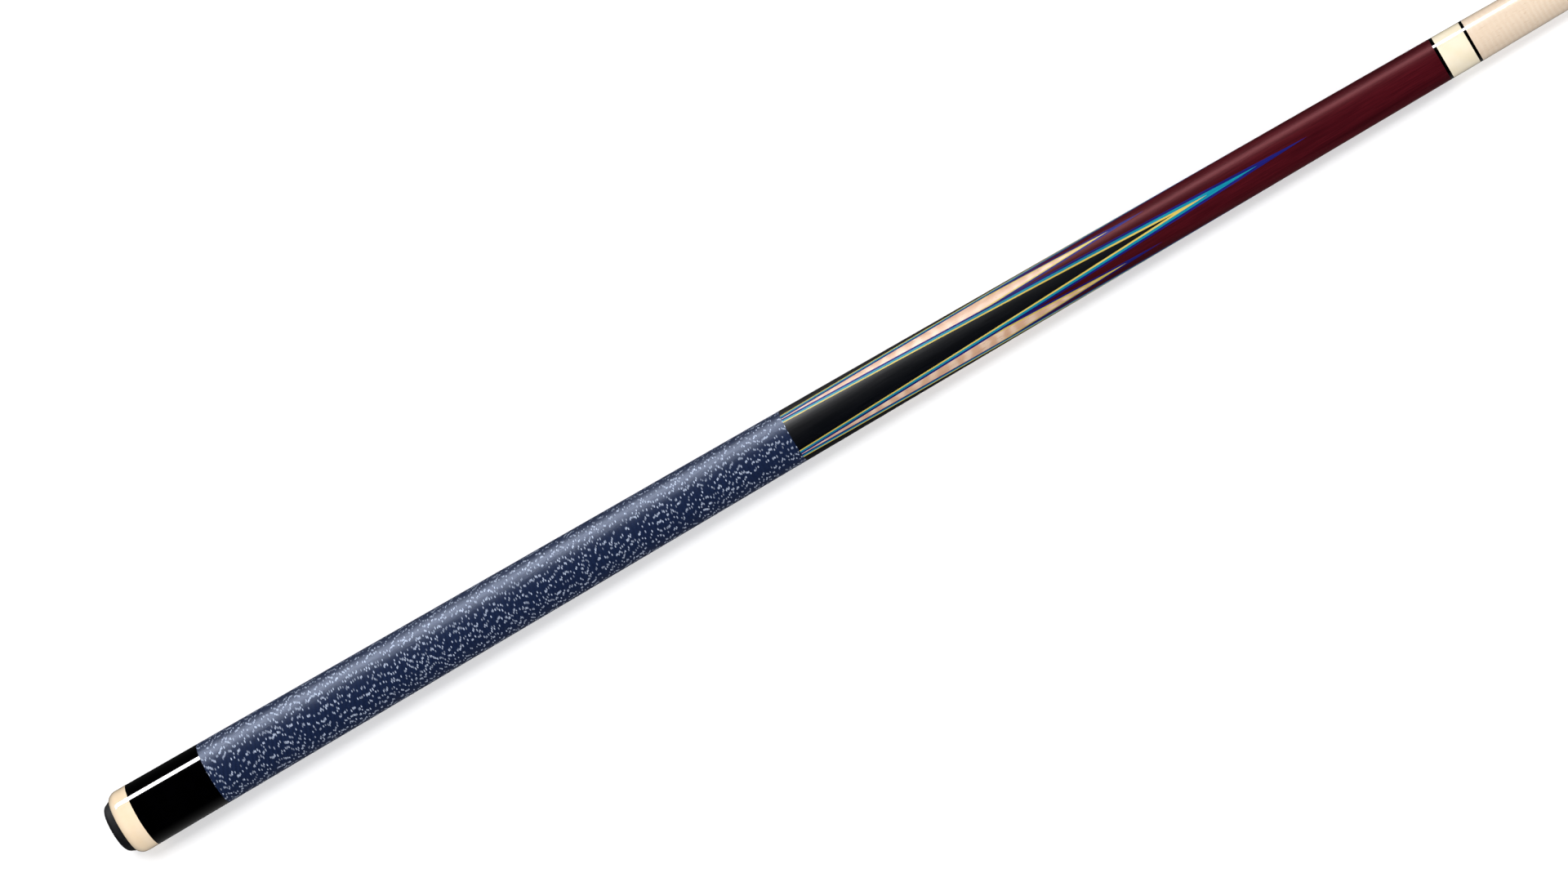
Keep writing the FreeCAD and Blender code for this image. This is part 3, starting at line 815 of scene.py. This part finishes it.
def dress_hidden_nodes():
    """Inner pieces whose CAD shape is already the real one only get their material."""
    slots = {row["node"]: row["material_slot"] for row in frame["record"]["subparts"]}
    for node in ("handle_core", "forearm_stud", "weight_bolt", "bolt_oring"):
        for material_slot in frame["nodes"][node].material_slots:
            material_slot.material = MATERIALS[slots[node]]


# ---------------------------------------------------------------- stage, light and camera
CLIMB = math.radians(30.2)        # how steeply the cue climbs across the picture
CAMERA_HEIGHT = 4.0               # above the cue's axis
VIEW_WIDTH = 0.734                # what the picture's width takes in, at the cue
VIEW_MIDDLE = 0.367               # the spot of the cue's axis at the picture's centre
SENSOR = 36.0                     # mm


def aimed(thing, place, target, roll=0.0):
    """Put a camera or light at a place, looking at a target, with +X turned up by roll."""
    back = (Vector(place) - Vector(target)).normalized()
    along = Vector((1, 0, 0))
    along = (along - along.dot(back) * back).normalized()
    across = back.cross(along)
    right = math.cos(roll) * along - math.sin(roll) * across
    up = math.sin(roll) * along + math.cos(roll) * across
    turned = Matrix((right, up, back)).transposed().to_4x4()
    thing.matrix_world = Matrix.Translation(Vector(place)) @ turned


def make_floor():
    """A pale floor that the cue rests on with its butt cap and its tip."""
    cap_x, cap_z = high("butt_cap"), -rim("butt_cap", front=True)
    tip_x, tip_z = high("ferrule"), -rim("ferrule", front=True)
    slope = (tip_z - cap_z) / (tip_x - cap_x)
    reach = 7.0
    middle = (cap_x + tip_x) / 2
    corners = []
    for along, aside in ((-1, -1), (1, -1), (1, 1), (-1, 1)):
        x = middle + along * reach
        corners.append((x, aside * reach, cap_z + slope * (x - cap_x)))
    floor = new_piece("pale_floor", corners, [(0, 1, 2, 3)])
    paint = Paint("floor_paper")
    paint.set(Base_Color=srgb(246, 246, 247), Roughness=0.9, Specular_IOR_Level=0.1)
    floor.data.materials.append(paint.material)
    floor.visible_diffuse = False
    floor.visible_glossy = False


def add_light(kind, name, place, target, **settings):
    light = bpy.data.lights.new(name, kind)
    for key, value in settings.items():
        setattr(light, key, value)
    thing = link(bpy.data.objects.new(name, light))
    aimed(thing, place, target)
    return thing


def light_from(tilt, distance=3.0):
    """A place round the cue, tilted from overhead towards its left side by degrees."""
    tilt = math.radians(tilt)
    return Vector((VIEW_MIDDLE, distance * math.sin(tilt), distance * math.cos(tilt)))


def light_scene():
    """A key that draws the shadow, soft light from all round, and a strip for the long highlight."""
    cue = Vector((VIEW_MIDDLE, 0, 0))
    sun_angle = 0.3
    suns = [("key", 18, 1.25), ("fill", 45, 1.5), ("back_fill", -50, 1.0),
            ("bounce", 110, 0.5), ("back_bounce", -110, 0.8)]
    for name, tilt, energy in suns:
        sun = add_light("SUN", name, light_from(tilt), cue, energy=energy, angle=sun_angle)
        sun.visible_glossy = False
        sun.data.use_shadow = name == "key"

    tilt, distance, length, width, radiance = 74.5, 2.0, 3.2, 0.5, 26.0
    power = radiance * length * width * math.pi
    strip = add_light("AREA", "strip", light_from(tilt, distance), cue, shape="RECTANGLE",
                      size=length, size_y=width, energy=power)
    strip.visible_diffuse = False
    strip.visible_camera = False


def make_surround():
    """The room: white behind the floor, dim for soft light, and dark with a faint lower half in gloss."""
    world = bpy.data.worlds.new("studio")
    scene.world = world
    world.use_nodes = True
    world.cycles.sampling_method = "NONE"
    room = Nodes(world.node_tree)
    path = room.add("ShaderNodeLightPath").outputs
    direction = room.add("ShaderNodeTexCoord").outputs["Generated"]
    parts = room.add("ShaderNodeSeparateXYZ", {"Vector": direction}).outputs
    mirrored = room.sum("MULTIPLY", room.span(parts["Z"], -0.8, 0.12, 0.09, 0.0),
                        room.span(parts["Y"], -0.3, 0.3, 1.0, 0.15))
    soft = 0.28
    change = room.sum("SUBTRACT", mirrored, soft)
    strength = room.sum("MULTIPLY_ADD", path["Is Glossy Ray"], change, soft)
    strength = room.sum("ADD", strength, path["Is Camera Ray"])
    background = world.node_tree.nodes["Background"]
    room.feed(background.inputs["Color"], (1.0, 1.0, 1.0, 1.0))
    room.feed(background.inputs["Strength"], strength)


def make_camera():
    """A camera above the joint that looks down and back at the butt half."""
    camera = bpy.data.cameras.new("camera")
    place, target = (JOINT_FACE, 0, CAMERA_HEIGHT), (VIEW_MIDDLE, 0, 0)
    distance = math.dist(place, target)
    camera.sensor_width = SENSOR
    camera.lens = SENSOR * distance / VIEW_WIDTH
    camera.clip_end = 100
    thing = link(bpy.data.objects.new("camera", camera))
    aimed(thing, place, target, roll=CLIMB)
    scene.camera = thing


make_bumper()
make_butt_cap()
straight_tube("black_butt_sleeve", "butt_sleeve", "sleeve_black")
make_wrap()
make_forearm()
straight_tube("black_joint_trim_ring", "joint_trim_ring", "ring_black")
straight_tube("cream_joint_collar", "joint_collar", "collar_ivory", front_edge=PARTING_EDGE)
make_joint_pin()
straight_tube("black_shaft_ring", "shaft_ring", "ring_black", rear_edge=PARTING_EDGE, body="shaft_joint")
make_insert()
make_shaft()
make_ferrule()
make_pad()
make_tip()
dress_hidden_nodes()

make_floor()
light_scene()
make_surround()
make_camera()
scene.view_settings.view_transform = "Standard"
